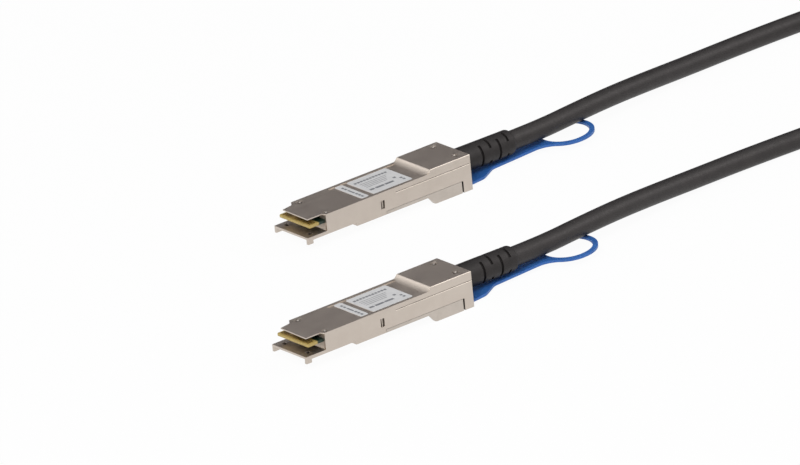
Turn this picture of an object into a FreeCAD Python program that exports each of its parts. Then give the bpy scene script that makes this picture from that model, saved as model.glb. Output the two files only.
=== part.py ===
import FreeCAD, Part
import math
import os
import Sketcher

# A direct attach copper cable: two flat metal plugs of the four lane kind, joined by one
# round cable. Millimetres. In a plug's own frame X runs from its nose towards the cable,
# Y is across it and Z is up, with zero at the front edge of the lower plate, on the middle
# line and at the main underside.

doc = FreeCAD.newDocument("DirectAttachCable")
sheet = doc.addObject("Spreadsheet::Sheet", "Sizes")


class Size:
    """A length that keeps its number and the formula that gives it in the sheet."""

    def __init__(self, value, text):
        self.value = float(value)
        self.text = text

    def __add__(self, other):
        other = as_size(other)
        return Size(self.value + other.value, f"({self.text} + {other.text})")

    def __sub__(self, other):
        other = as_size(other)
        return Size(self.value - other.value, f"({self.text} - {other.text})")

    def __mul__(self, other):
        other = as_size(other)
        return Size(self.value * other.value, f"({self.text} * {other.text})")

    def __truediv__(self, other):
        other = as_size(other)
        return Size(self.value / other.value, f"({self.text} / {other.text})")

    def __neg__(self):
        return Size(-self.value, f"(0 - {self.text})")

    def __rsub__(self, other):
        return as_size(other) - self

    __radd__ = __add__
    __rmul__ = __mul__


def as_size(item):
    return item if isinstance(item, Size) else Size(item, f"({item:g})")


rows = []


def size(name, value, note):
    """Write one driving dimension into the sheet and hand back its Size."""
    row = len(rows) + 1
    rows.append(name)
    sheet.set(f"A{row}", name)
    sheet.set(f"B{row}", f"{value:g}")
    sheet.set(f"C{row}", note)
    sheet.setAlias(f"B{row}", name)
    return Size(value, f"Sizes.{name}")


# Outer form of a plug
body_length = size("body_length", 72.4, "plug, front edge to rear face")
body_width = size("body_width", 18.35, "plug, across")
body_height = size("body_height", 8.5, "main underside to main top")
front_raise = size("front_raise", 1.25, "how much higher the underside is at the front")
front_raise_end = size("front_raise_end", 21.5, "where the underside steps down")
plate_top = size("plate_top", 2.47, "top of the lower front plate")
plate_lip = size("plate_lip", 0.75, "thickness of the plate's front lip between the legs")
plate_lip_depth = size("plate_lip_depth", 2.3, "how far back the thin lip runs")
leg_width = size("leg_width", 0.9, "front leg, across")
plate_hole_long = size("plate_hole_long", 1.5, "hole in the lower plate, along the plug")
plate_hole_wide = size("plate_hole_wide", 1.8, "hole in the lower plate, across")
plate_hole_start = size("plate_hole_start", 2.45, "front edge of the plate's holes")
plate_hole_side = size("plate_hole_side", 6.2, "middle line to the centre of a plate hole")
plate_hole_floor = size("plate_hole_floor", 0.3, "what the holes leave of the plate")
wall_start = size("wall_start", 8.6, "front edge of the side walls")
thin_wall = size("thin_wall", 0.8, "side wall beside the card")
thick_wall = size("thick_wall", 2.0, "side wall behind the card's shoulders")
hall_end = size("hall_end", 26.0, "where the thin walls end")
sill_long = size("sill_long", 2.0, "sill under the card, along the plug")
sill_slant = size("sill_slant", 0.9, "how far the sill's front leans back")
sill_gap = size("sill_gap", 0.3, "top of that sill to the card")
floor_top = size("floor_top", 1.7, "inner floor behind the hall")
rear_wall = size("rear_wall", 5.2, "thickness of the rear wall")

# Cover
cover_plate = size("cover_plate", 0.95, "thickness of the cover's flat")
skirt_drop = size("skirt_drop", 0.76, "how far the cover's skirt hangs below its flat")
skirt_start = size("skirt_start", 39.2, "where the cover's skirt begins")
seam_groove = size("seam_groove", 0.24, "height of the shadow line along the seam")
seam_depth = size("seam_depth", 0.5, "depth of that line")
seam_bevel = size("seam_bevel", 0.16, "bevel on the shell's edge below it")
nose_front = size("nose_front", 1.8, "front edge of the cover's nose")
nose_plate = size("nose_plate", 0.4, "thickness of the cover's nose")
nose_near = size("nose_near", 1.6, "how far the nose is set in on the near side")
nose_near_run = size("nose_near_run", 0.7, "length of the near shoulder")
nose_far = size("nose_far", 2.2, "how far the nose is set in on the far side")
nose_far_run = size("nose_far_run", 1.55, "length of the far shoulder")
nose_far_start = size("nose_far_start", 8.05, "where the far shoulder begins")
nose_taper = size("nose_taper", 0.75, "extra set in at the far front corner")
nose_skew = size("nose_skew", 0.28, "how far that corner lies behind the near one")
block_long = size("block_long", 17.45, "length of the raised rear block's top")
block_rise = size("block_rise", 1.4, "rear block above the main top")
block_slant = size("block_slant", 1.1, "how far the block's front face leans")
foot_run = size("foot_run", 1.6, "length of the hollow at the foot of the block")
recess_long = size("recess_long", 29.3, "level floor of the label recess")
recess_depth = size("recess_depth", 0.22, "depth of the label recess")
rim_width = size("rim_width", 1.25, "rims beside the label recess")
block_roof = size("block_roof", 0.8, "roof of the hollow under the block")
edge_chamfer = size("edge_chamfer", 0.2, "bevel on the block's top edges")

# Labels
label_gap = size("label_gap", 0.25, "label to rim")
label_thick = size("label_thick", 0.1, "thickness of a label")
label_corner = size("label_corner", 0.8, "corner radius of a label")
label_front = size("label_front", 2.4, "front end of the recess to the small label")
label_back = size("label_back", 4.3, "large label to the end of the recess's level floor")
labels_apart = size("labels_apart", 2.0, "small label to large label")
small_label_long = size("small_label_long", 3.3, "small label, along the plug")

# Rivets that hold the cover
rivet_radius = size("rivet_radius", 0.8, "rivet shank")
rivet_length = size("rivet_length", 2.0, "depth of a rivet below the top it ends in")
rivet_clearance = size("rivet_clearance", 0.02, "rivet to its hole, on the radius")
front_rivet_x = size("front_rivet_x", 9.9, "front rivets, from the front edge")
front_rivet_in = size("front_rivet_in", 1.975, "front rivets, from the plug's sides")
rivet_shift = size("rivet_shift", 0.5, "how far the front rivets lie off the middle")
rear_rivet_back = size("rear_rivet_back", 4.0, "rear rivets, from the rear face")
rear_rivet_in = size("rear_rivet_in", 3.375, "rear rivets, from the plug's sides")
dish_radius = size("dish_radius", 1.15, "shallow dish round a rivet")
dish_depth = size("dish_depth", 0.3, "depth of that dish")
dimple_radius = size("dimple_radius", 0.45, "dimple in a rivet's end")
boss_long = size("boss_long", 3.6, "rivet boss at the front, along the plug")
boss_inner = size("boss_inner", 3.7, "plug's side to the boss's inner face")
boss_gap = size("boss_gap", 0.2, "card's top to the front rivet bosses")

# Card
card_front = size("card_front", 1.6, "front edge of the card")
card_drop = size("card_drop", 3.3, "plug's top to the card's underside")
card_thick = size("card_thick", 1.0, "thickness of the card")
card_side_gap = size("card_side_gap", 0.165, "card's contact end to the side walls")
card_gap = size("card_gap", 0.12, "card to the walls that hold it")
card_end = size("card_end", 41.5, "rear edge of the card")
card_bevel = size("card_bevel", 0.35, "bevel on the card's front edge")
card_corner = size("card_corner", 0.75, "rounding of the card's front corners")
ledge_width = size("ledge_width", 1.3, "ledges under the card's tail")
pad_margin = size("pad_margin", 0.6, "card's edge to the first contact's room")
pad_pitch = size("pad_pitch", 0.8, "contact spacing")
pad_wide = size("pad_wide", 0.54, "contact width")
pad_long = size("pad_long", 2.6, "contact length")
pad_thick = size("pad_thick", 0.06, "contact height above the card")
pad_set_back = size("pad_set_back", 0.6, "card edge to the contacts")

# Latch slider and its place in the shell
slide_gap = size("slide_gap", 0.1, "running gap round the slider")
slider_start = size("slider_start", 34.7, "front end of the slider's arms")
rear_foot = size("rear_foot", 3.82, "length of the shell's rear foot")
release_gap = size("release_gap", 0.68, "open slot behind the slider")
arm_top = size("arm_top", 1.13, "top edge of the arms")
arm_thick = size("arm_thick", 0.6, "thickness of the arms' outer lips")
arm_flange = size("arm_flange", 2.6, "width of the arms under the plug")
flange_thick = size("flange_thick", 0.55, "thickness of the arms under the plug")
deep_drop = size("deep_drop", 3.1, "rear block below the main underside")
deep_long = size("deep_long", 14.8, "length of the deep block with its two cheeks")
deep_slope = size("deep_slope", 2.55, "length of the deep block's sloping front")
deep_set_back = size("deep_set_back", 2.0, "front wall behind the front of the cheeks")
deep_wall = size("deep_wall", 0.9, "side walls of the deep block")
deep_floor = size("deep_floor", 0.6, "bottom of the deep block")
deep_round = size("deep_round", 1.0, "rounding under the deep block's front")
foot_leg = size("foot_leg", 1.8, "legs of the shell's rear foot, across")
foot_roof = size("foot_roof", 1.3, "main underside to the roof of the strap's way out")
keel_wall = size("keel_wall", 0.65, "side walls of the keel under the cable end")
keel_drop = size("keel_drop", 0.95, "keel below the main underside")
well_long = size("well_long", 10.9, "length of the well that takes the cable end")
well_gap = size("well_gap", 0.1, "side of that well to the boot's flange")
well_floor = size("well_floor", 0.7, "floor thickness under that well")
window_front = size("window_front", 32.5, "front edge of the side windows")
window_long = size("window_long", 1.65, "side window, along the plug")
window_under = size("window_under", 2.45, "lower edge of the side windows")
window_tall = size("window_tall", 3.05, "height of the side windows")
skin = size("skin", 0.6, "outer skin that covers the upright arms")
upright_thick = size("upright_thick", 0.55, "thickness of the upright arms")
upright_long = size("upright_long", 3.0, "upright arm behind the tooth")
tooth_long = size("tooth_long", 0.5, "tooth in the window, along the plug")
tooth_gap = size("tooth_gap", 0.3, "window's front edge to the tooth")

# Return springs
spring_in = size("spring_in", 2.475, "plug's side to a spring's middle")
spring_wide = size("spring_wide", 1.7, "spring, across")
spring_tall = size("spring_tall", 1.5, "height of the spring strip")
spring_strip = size("spring_strip", 0.22, "thickness of the spring strip")
spring_folds = size("spring_folds", 7, "straight legs in one spring")
post_long = size("post_long", 1.1, "shell posts that the springs push on")
post_wide = size("post_wide", 2.2, "those posts, across")

# Pull tab
strap_thick = size("strap_thick", 0.9, "thickness of the pull tab")
strap_inner_half = size("strap_inner_half", 3.6, "half width of the strap inside the plug")
strap_room = size("strap_room", 0.25, "deep block's front wall to the strap")
stake_radius = size("stake_radius", 0.8, "slider stakes that hold the strap")
stake_back = size("stake_back", 2.0, "strap's front end to the stakes")
stake_side = size("stake_side", 2.0, "stakes, from the middle line")
stake_clearance = size("stake_clearance", 0.03, "stake to its hole, on the radius")
tab_side_gap = size("tab_side_gap", 0.225, "tab to the legs of the rear foot")
tab_taper = size("tab_taper", 0.45, "how much the tab's wide base narrows")
tab_base_long = size("tab_base_long", 7.5, "wide base behind the rear face")
tab_neck_back = size("tab_neck_back", 14.2, "rear face to the narrow strap")
tab_neck_half = size("tab_neck_half", 2.9, "half width of the narrow strap")
tab_round = size("tab_round", 4.5, "rounding of the tab's shoulders")
ring_back = size("ring_back", 48.9, "rear face to the middle of the finger ring")
ring_straight = size("ring_straight", 0.8, "straight stretch of the ring")
ring_inner = size("ring_inner", 8.4, "inner radius of the ring")
ring_wall = size("ring_wall", 1.8, "width of the ring")
ring_fillet = size("ring_fillet", 9.0, "rounding where the strap meets the ring")
tab_rise = size("tab_rise", 2.25, "how far the tab climbs to its end")
tab_bend = size("tab_bend", 5.0, "length of the bend from which it climbs")

# Boot, cable and wires
cable_axis = size("cable_axis", 4.32, "height of the cable's axis in the plug")
cable_radius = size("cable_radius", 3.5, "outer radius of the cable")
boot_radius = size("boot_radius", 4.65, "boot at the plug")
boot_end_radius = size("boot_end_radius", 4.5, "boot at its outer end")
boot_length = size("boot_length", 24.8, "boot behind the plug")
boot_round = size("boot_round", 1.3, "rounding of the boot's end")
neck_radius = size("neck_radius", 3.75, "boot where it passes the rear wall")
neck_gap = size("neck_gap", 0.05, "neck to the rear wall's hole")
flange_radius = size("flange_radius", 4.25, "boot's flange inside the wall")
flange_long = size("flange_long", 1.3, "length of that flange")
slot_first = size("slot_first", 9.4, "first flex slot, from the rear face")
slot_pitch = size("slot_pitch", 3.92, "spacing of the flex slots")
slot_wide = size("slot_wide", 1.0, "width of a flex slot")
slot_core = size("slot_core", 3.7, "what the flex slots leave, as a radius")
slot_turn = size("slot_turn", 60, "degrees that a flex slot reaches each way round the boot")
ferrule_long = size("ferrule_long", 5.6, "crimp ferrule")
ferrule_radius = size("ferrule_radius", 3.7, "outer radius of the ferrule")
ferrule_bore = size("ferrule_bore", 3.1, "bore of the ferrule")
pair_wide = size("pair_wide", 1.9, "one twin wire, across")
pair_tall = size("pair_tall", 1.0, "one twin wire, height")
pair_margin = size("pair_margin", 0.575, "outer twin wires to the ledges")
pair_bundle = size("pair_bundle", 2.0, "twin wires in the ferrule, spacing")
pair_lift = size("pair_lift", 0.06, "solder between a twin wire and the card")
pair_overlap = size("pair_overlap", 2.6, "length of wire laid on the card")
comb_start = size("comb_start", 43.0, "front face of the wire comb")
comb_long = size("comb_long", 2.4, "wire comb, along the plug")
comb_gap = size("comb_gap", 0.08, "comb to the wires and walls")
chip_long = size("chip_long", 3.9, "memory chip, along the plug")
chip_wide = size("chip_wide", 4.9, "memory chip, across")
chip_tall = size("chip_tall", 1.1, "memory chip, height")
chip_x = size("chip_x", 30.0, "middle of the memory chip")
capacitor_long = size("capacitor_long", 1.0, "one capacitor")
capacitor_wide = size("capacitor_wide", 0.5, "one capacitor, across and high")
capacitor_margin = size("capacitor_margin", 0.625, "outer capacitors to the ledges")

# How the two plugs lie
plug_step = size("plug_step", 66.5, "one plug ahead of the other")
plug_spacing = size("plug_spacing", 81.9, "one plug beside the other")
plug_middle = size("plug_middle", 66.3, "place in a plug that lies over the part's origin")

doc.recompute()

# Share of the block's front face that the hollow at its foot leaves as it is
FOOT_SHARE = 0.6

half_width = body_width / 2
cover_under = body_height - cover_plate
recess_floor = body_height - recess_depth
block_top = body_height + block_rise
seam_height = cover_under - skirt_drop
card_under = body_height - card_drop
sill_top = card_under - sill_gap
boss_under = card_under + card_thick + boss_gap
rear_wall_start = body_length - rear_wall
foot_start = body_length - rear_foot
slider_end = foot_start - release_gap
deep_start = slider_end - deep_long
wall_front = deep_start + deep_set_back
slope_end = deep_start + deep_slope
wall_foot = slope_end + deep_set_back
strap_inner_start = wall_foot + deep_wall + strap_room
stake_x = strap_inner_start + stake_back
block_start = body_length - block_long
recess_end = block_start - block_slant * FOOT_SHARE - foot_run
recess_start = recess_end - recess_long
small_label_start = recess_start + label_front
large_label_start = small_label_start + small_label_long + labels_apart
large_label_long = recess_end - label_back - large_label_start
front_rivet_side = half_width - front_rivet_in
rear_rivet_x = body_length - rear_rivet_back
rear_rivet_side = half_width - rear_rivet_in
card_width = body_width - thin_wall * 2 - card_side_gap * 2
pad_count = int((card_width - pad_margin * 2).value / pad_pitch.value)
well_start = rear_wall_start - well_long
well_half = flange_radius + well_gap
keel_half = well_half + keel_wall
spring_side = half_width - spring_in
tab_base_half = half_width - foot_leg - tab_side_gap
tab_base_end_half = tab_base_half - tab_taper
tab_base_end = body_length + tab_base_long
tab_neck_start = body_length + tab_neck_back
ring_centre = body_length + ring_back
ledge_room = body_width - (thick_wall + ledge_width) * 2
pair_pitch = (ledge_room - pair_margin * 2 - pair_wide) / 3
capacitor_pitch = (ledge_room - capacitor_margin * 2 - capacitor_wide) / 5
ring_outer = ring_inner + ring_wall
tab_end = ring_centre + ring_straight / 2 + ring_outer
boot_end = body_length + boot_length
deep_under = -deep_drop
deep_inside = deep_under + deep_floor
card_top = card_under + card_thick
PLANES = {"XY": "XY_Plane", "XZ": "XZ_Plane", "YZ": "YZ_Plane"}
made = []


def plug_offset(plug):
    """Where a plug's own frame lies in the part's frame."""
    way = 1 if plug == "a" else -1
    return plug_step * (way / 2) - plug_middle, plug_spacing * (way / 2), deep_drop


def place(item, plug, raised=None):
    """Bind an object's place to its plug's, with a height of its own if one is given."""
    along, across, up = plug_offset(plug)
    up = up if raised is None else up + raised
    for axis, length in (("x", along), ("y", across), ("z", up)):
        item.setExpression(f"Placement.Base.{axis}", length.text)


def keep(item, label):
    item.Label = label
    made.append(item)
    return item


def new_body(label):
    body = doc.addObject("PartDesign::Body", label)
    return keep(body, label)


def new_sketch(body, name, plane, level):
    """An empty sketch on one of the body's own planes, at a bound distance from it."""
    sketch = body.newObject("Sketcher::SketchObject", f"{body.Name}_{name}")
    role = PLANES[plane]
    sketch.AttachmentSupport = [(f, "") for f in body.Origin.OriginFeatures if f.Role == role]
    sketch.MapMode = "FlatFace"
    level = as_size(level)
    if level.value:
        sketch.setExpression(".AttachmentOffset.Base.z", level.text)
        sketch.AttachmentOffset.Base.z = level.value
    return sketch


def pin_point(sketch, edge, end, corner):
    """Tie one end of an edge to a corner given by two sizes."""
    for kind, length in (("DistanceX", corner[0]), ("DistanceY", corner[1])):
        length = as_size(length)
        index = sketch.addConstraint(
            Sketcher.Constraint(kind, -1, 1, edge, end, length.value))
        sketch.setExpression(f"Constraints[{index}]", length.text)


def add_outline(sketch, corners, arcs=None):
    """A closed outline. arcs gives the radius of an edge that is round, by its number."""
    arcs = arcs or {}
    points = [FreeCAD.Vector(as_size(x).value, as_size(y).value, 0) for x, y in corners]
    first = sketch.GeometryCount
    for number, start in enumerate(points):
        end = points[(number + 1) % len(points)]
        if number in arcs:
            sketch.addGeometry(arc_between(start, end, arcs[number].value), False)
        else:
            sketch.addGeometry(Part.LineSegment(start, end), False)
    for number, corner in enumerate(corners):
        edge = first + number
        before = first + (number - 1) % len(corners)
        sketch.addConstraint(Sketcher.Constraint(
            "Coincident", before, tail(sketch, before, points[number]),
            edge, tail(sketch, edge, points[number])))
        pin_point(sketch, edge, tail(sketch, edge, points[number]), corner)
    for number, radius in arcs.items():
        radius = radius if radius.value > 0 else -radius
        index = sketch.addConstraint(
            Sketcher.Constraint("Radius", first + number, radius.value))
        sketch.setExpression(f"Constraints[{index}]", radius.text)


def tail(sketch, edge, point):
    """Which end of a sketch edge lies at a point: 1 for its start, 2 for its end."""
    curve = sketch.Geometry[edge]
    return 1 if curve.StartPoint.distanceToPoint(point) < 1e-4 else 2


def arc_between(start, end, radius):
    """The short arc of a radius from start to end, on the right of the way for plus."""
    middle = (start + end) / 2
    way = (end - start).normalize()
    side = FreeCAD.Vector(way.y, -way.x, 0) * math.copysign(1, radius)
    half = start.distanceToPoint(end) / 2
    centre = middle - side * math.sqrt(radius * radius - half * half)
    round_edge = Part.Circle(centre, FreeCAD.Vector(0, 0, 1), abs(radius))
    first, last = (start, end) if radius > 0 else (end, start)
    turns = [math.atan2(p.y - centre.y, p.x - centre.x) for p in (first, last)]
    if turns[1] < turns[0]:
        turns[1] += 2 * math.pi
    return Part.ArcOfCircle(round_edge, turns[0], turns[1])


def outline_sketch(body, name, plane, corners, level=0, arcs=None):
    sketch = new_sketch(body, name, plane, level)
    add_outline(sketch, corners, arcs)
    return sketch


def box_corners(low_x, high_x, low_y, high_y):
    return [(low_x, low_y), (high_x, low_y), (high_x, high_y), (low_x, high_y)]


def both_sides(sketch, inner, outer, low, high, turned=False):
    """Two rectangles, one each side of the middle line."""
    for side in (1, -1):
        near, far = (inner, outer) if side > 0 else (-as_size(outer), -as_size(inner))
        if turned:
            add_outline(sketch, box_corners(low, high, near, far))
        else:
            add_outline(sketch, box_corners(near, far, low, high))


def circle_sketch(body, name, plane, centres, radius, level=0):
    sketch = new_sketch(body, name, plane, level)
    for centre in centres:
        middle = FreeCAD.Vector(as_size(centre[0]).value, as_size(centre[1]).value, 0)
        edge = sketch.addGeometry(
            Part.Circle(middle, FreeCAD.Vector(0, 0, 1), radius.value), False)
        pin_point(sketch, edge, 3, centre)
        index = sketch.addConstraint(Sketcher.Constraint("Radius", edge, radius.value))
        sketch.setExpression(f"Constraints[{index}]", radius.text)
    return sketch


def grow(body, sketch, kind, length, middle=False, back=False):
    """Pad or pocket a sketch by a bound length, and check that the volume follows."""
    doc.recompute()
    before = body.Shape.Volume if body.Tip else 0.0
    feature = body.newObject(f"PartDesign::{kind}", f"{sketch.Name}_{kind}")
    feature.Profile = sketch
    feature.setExpression("Length", as_size(length).text)
    feature.Length = as_size(length).value
    feature.Midplane = middle
    feature.Reversed = back
    sketch.Visibility = False
    doc.recompute()
    change = feature.Shape.Volume - before
    if (kind == "Pad" and change <= 0) or (kind == "Pocket" and change >= 0):
        raise ValueError(f"{feature.Name} changed nothing")
    return feature


def pad(body, sketch, length, **how):
    return grow(body, sketch, "Pad", length, **how)


def pocket(body, sketch, length, **how):
    return grow(body, sketch, "Pocket", length, **how)


def cut_up(body, sketch, length):
    """Pocket from a level plane upwards."""
    return pocket(body, sketch, length, back=True)


def bottom_shell(plug):
    """Cast lower shell: floor, side walls, front plate with two legs and the rear foot."""
    body = new_body(f"bottom_shell_{plug}")
    side = outline_sketch(body, "side", "XZ", [
        (0, front_raise), (front_raise_end, front_raise), (front_raise_end, 0),
        (foot_start, 0), (foot_start, deep_under), (body_length, deep_under),
        (body_length, seam_height), (skirt_start, seam_height),
        (skirt_start, cover_under), (wall_start, cover_under),
        (wall_start, plate_top), (0, plate_top)])
    pad(body, side, body_width, middle=True)

    legs = new_sketch(body, "legs", "XY", 0)
    both_sides(legs, half_width - leg_width, half_width, 0, plate_lip_depth, turned=True)
    pad(body, legs, plate_top - plate_lip)
    lip = outline_sketch(body, "lip", "XZ", box_corners(
        -1, plate_lip_depth, front_raise - 1, plate_top - plate_lip))
    pocket(body, lip, body_width - leg_width * 2, middle=True)
    holes = new_sketch(body, "plate_holes", "XY", front_raise + plate_hole_floor)
    both_sides(holes, plate_hole_side - plate_hole_wide / 2,
               plate_hole_side + plate_hole_wide / 2,
               plate_hole_start, plate_hole_start + plate_hole_long, turned=True)
    cut_up(body, holes, plate_top)

    hall = outline_sketch(body, "hall", "XY", box_corners(
        wall_start - 1, hall_end, thin_wall - half_width, half_width - thin_wall), plate_top)
    cut_up(body, hall, body_height)
    sill = outline_sketch(body, "sill", "XZ", [
        (wall_start, plate_top / 2), (wall_start + sill_long, plate_top / 2),
        (wall_start + sill_long, sill_top), (wall_start + sill_slant, sill_top),
        (wall_start, plate_top)])
    pad(body, sill, body_width - thin_wall, middle=True)
    bosses = new_sketch(body, "rivet_bosses", "XY", boss_under)
    both_sides(bosses, half_width - boss_inner, half_width - thin_wall / 2,
               wall_start, wall_start + boss_long, turned=True)
    pad(body, bosses, cover_under - boss_under)
    upper = outline_sketch(body, "upper_room", "XY", box_corners(
        hall_end - 1, rear_wall_start, thick_wall - half_width, half_width - thick_wall),
        card_under)
    cut_up(body, upper, body_height)
    lower_half = half_width - thick_wall - ledge_width
    lower = outline_sketch(body, "lower_room", "XY", box_corners(
        hall_end - 1, rear_wall_start, -lower_half, lower_half), floor_top)
    cut_up(body, lower, body_height)

    keel = outline_sketch(body, "keel", "XY", box_corners(
        well_start - well_floor, foot_start + 1, -keel_half, keel_half), -keel_drop)
    pad(body, keel, keel_drop + floor_top / 2)
    well = outline_sketch(body, "well", "XY", box_corners(
        well_start, rear_wall_start, -well_half, well_half), well_floor - keel_drop)
    cut_up(body, well, body_height)
    throat = circle_sketch(body, "throat", "YZ", [(0, cable_axis)],
                           neck_radius + neck_gap, rear_wall_start - 1)
    pocket(body, throat, body_length, back=True)

    channel = outline_sketch(body, "strap_way", "YZ", box_corners(
        foot_leg - half_width, half_width - foot_leg, deep_under - 1, -foot_roof),
        foot_start - 1)
    pocket(body, channel, body_length, back=True)

    recess = new_sketch(body, "arm_recess", "YZ", slider_start - slide_gap)
    inner = half_width - arm_flange - slide_gap
    lip_face = half_width - arm_thick - slide_gap
    for way in (1, -1):
        add_outline(recess, [
            (way * inner, -1), (way * (half_width + 1), -1),
            (way * (half_width + 1), arm_top + slide_gap),
            (way * lip_face, arm_top + slide_gap),
            (way * lip_face, flange_thick + slide_gap),
            (way * inner, flange_thick + slide_gap)])
    pocket(body, recess, foot_start - slider_start + slide_gap, back=True)

    upright = new_sketch(body, "upright_slots", "YZ", window_front)
    both_sides(upright, half_width - skin - upright_thick - slide_gap * 2,
               half_width - skin, -1, window_under + window_tall)
    slot_long = tooth_gap + tooth_long + upright_long + release_gap + slide_gap
    pocket(body, upright, slot_long, back=True)
    windows = outline_sketch(body, "windows", "XZ", box_corners(
        window_front, window_front + window_long, window_under, window_under + window_tall))
    pocket(body, windows, body_width + 2, middle=True)

    posts = new_sketch(body, "spring_posts", "XY", deep_inside + slide_gap)
    both_sides(posts, spring_side - post_wide / 2, spring_side + post_wide / 2,
               slider_end - post_long, slider_end, turned=True)
    pad(body, posts, floor_top / 2 - deep_inside - slide_gap)

    rivet_holes(body)
    seam = new_sketch(body, "seam", "YZ", skirt_start)
    for way in (1, -1):
        add_outline(seam, [
            (way * (half_width - seam_depth), seam_height + 1),
            (way * (half_width - seam_depth), seam_height - seam_groove),
            (way * (half_width - seam_bevel), seam_height - seam_groove),
            (way * half_width, seam_height - seam_groove - seam_bevel),
            (way * (half_width + 1), seam_height - seam_groove - seam_bevel),
            (way * (half_width + 1), seam_height + 1)])
    pocket(body, seam, body_length, back=True)
    place(body, plug)


def rivet_rows():
    """The two rows of rivets: name, place along the plug, the two places across, and top."""
    return (("front", front_rivet_x, (front_rivet_side - rivet_shift,
                                      -front_rivet_side - rivet_shift), body_height),
            ("rear", rear_rivet_x, (rear_rivet_side, -rear_rivet_side), block_top))


def rivet_holes(body):
    """The rivets' holes, alike in the shell and in the cover."""
    for row, along, sides, top in rivet_rows():
        holes = circle_sketch(body, f"{row}_rivet_holes", "XY",
                              [(along, across) for across in sides],
                              rivet_radius + rivet_clearance, top - rivet_depth(row))
        cut_up(body, holes, body_height * 2)


def rivet_depth(row):
    """A rear rivet also passes the height of the block."""
    return rivet_length if row == "front" else rivet_length + block_rise + cover_plate


def top_cover(plug):
    """Cast cover: nose, label recess, hollow ramp and the raised block over the cable end."""
    body = new_body(f"top_cover_{plug}")
    side = outline_sketch(body, "side", "XZ", [
        (wall_start, cover_under), (skirt_start, cover_under), (skirt_start, seam_height),
        (body_length, seam_height), (body_length, block_top), (block_start, block_top),
        (block_start - block_slant, body_height), (wall_start, body_height)])
    pad(body, side, body_width, middle=True)

    nose = outline_sketch(body, "nose", "XY", [
        (nose_front, nose_near - half_width),
        (wall_start - nose_near_run, nose_near - half_width),
        (wall_start, -half_width), (wall_start + 1, -half_width), (wall_start + 1, half_width),
        (nose_far_start, half_width), (nose_far_start - nose_far_run, half_width - nose_far),
        (nose_front + nose_skew, half_width - nose_far - nose_taper)],
        body_height - nose_plate)
    pad(body, nose, nose_plate)
    # The label recess runs into a hollow that ends part way up the block's front face.
    hollow_end = block_start - block_slant * FOOT_SHARE
    hollow_top = block_top - block_rise * FOOT_SHARE
    rise = hollow_top - recess_floor
    foot_radius = (foot_run * foot_run + rise * rise) / (rise * 2)
    recess = outline_sketch(body, "label_recess", "XZ", [
        (recess_start, recess_floor), (recess_end, recess_floor),
        (hollow_end, hollow_top), (hollow_end, block_top), (recess_start, block_top)],
        arcs={1: foot_radius})
    pocket(body, recess, body_width - rim_width * 2, middle=True)

    hollow = outline_sketch(body, "hollow", "XY", box_corners(
        block_start + block_roof, rear_wall_start, thick_wall - half_width,
        half_width - thick_wall), seam_height - 1)
    cut_up(body, hollow, block_top - block_roof - seam_height + 1)
    inner = outline_sketch(body, "inner", "XY", box_corners(
        skirt_start - 1, rear_wall_start, thick_wall - half_width,
        half_width - thick_wall), seam_height - 1)
    cut_up(body, inner, cover_under - seam_height + 1)
    throat = circle_sketch(body, "throat", "YZ", [(0, cable_axis)],
                           neck_radius + neck_gap, rear_wall_start - 1)
    pocket(body, throat, body_length, back=True)
    clamps = new_sketch(body, "card_clamps", "XY", card_top)
    both_sides(clamps, half_width - thick_wall - ledge_width, half_width - thick_wall - card_gap,
               hall_end + ledge_width, hall_end + ledge_width * 3, turned=True)
    pad(body, clamps, cover_under - card_top + cover_plate / 2)

    rivet_holes(body)
    for row, along, sides, top in rivet_rows():
        dishes = circle_sketch(body, f"{row}_dishes", "XY",
                               [(along, across) for across in sides],
                               dish_radius, top - dish_depth)
        cut_up(body, dishes, body_height)
    cast = body.Tip
    bevel = body.newObject("PartDesign::Chamfer", f"{body.Name}_bevel")
    bevel.Base = (cast, block_edges(cast.Shape))
    bevel.setExpression("Size", edge_chamfer.text)
    bevel.Size = edge_chamfer.value
    body.Tip = bevel
    place(body, plug)


def block_edges(shape):
    """Names of the straight edges round the block's top, along its sides and front."""
    names = []
    for number, edge in enumerate(shape.Edges, 1):
        box = edge.BoundBox
        level = abs(box.ZMin - block_top.value) < 1e-4 and abs(box.ZMax - block_top.value) < 1e-4
        at_side = box.YLength < 1e-4 and abs(abs(box.YMin) - half_width.value) < 1e-4
        at_front = box.XLength < 1e-4 and abs(box.XMin - block_start.value) < 1e-4
        if level and (at_side or at_front):
            names.append(f"Edge{number}")
    return names


def cover_rivets(plug):
    """Four round rivets, each with a dimple in its end, as one group."""
    rivets = []
    for row, along, sides, top in rivet_rows():
        depth = rivet_depth(row).value
        for across in sides:
            foot = FreeCAD.Vector(along.value, across.value, top.value - depth)
            shank = Part.makeCylinder(rivet_radius.value, depth, foot)
            tip = foot + FreeCAD.Vector(0, 0, depth - dish_depth.value)
            dimple = Part.makeCone(0, dimple_radius.value, dish_depth.value, tip)
            rivets.append(shank.cut(dimple))
    place(as_group(f"cover_rivets_{plug}", rivets), plug)


def label(plug, name, start, length):
    """A thin printed label with round corners, lying in the cover's recess."""
    body = new_body(f"{name}_{plug}")
    across = half_width - rim_width - label_gap
    plan = outline_sketch(body, "plan", "XY", box_corners(
        start, start + length, -across, across), recess_floor)
    sheet_pad = pad(body, plan, label_thick)
    uprights = [f"Edge{number}" for number, edge in enumerate(sheet_pad.Shape.Edges, 1)
                if edge.BoundBox.ZLength > label_thick.value / 2]
    corners = body.newObject("PartDesign::Fillet", f"{body.Name}_corners")
    corners.Base = (sheet_pad, uprights)
    corners.setExpression("Radius", label_corner.text)
    corners.Radius = label_corner.value
    body.Tip = corners
    place(body, plug)


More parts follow.
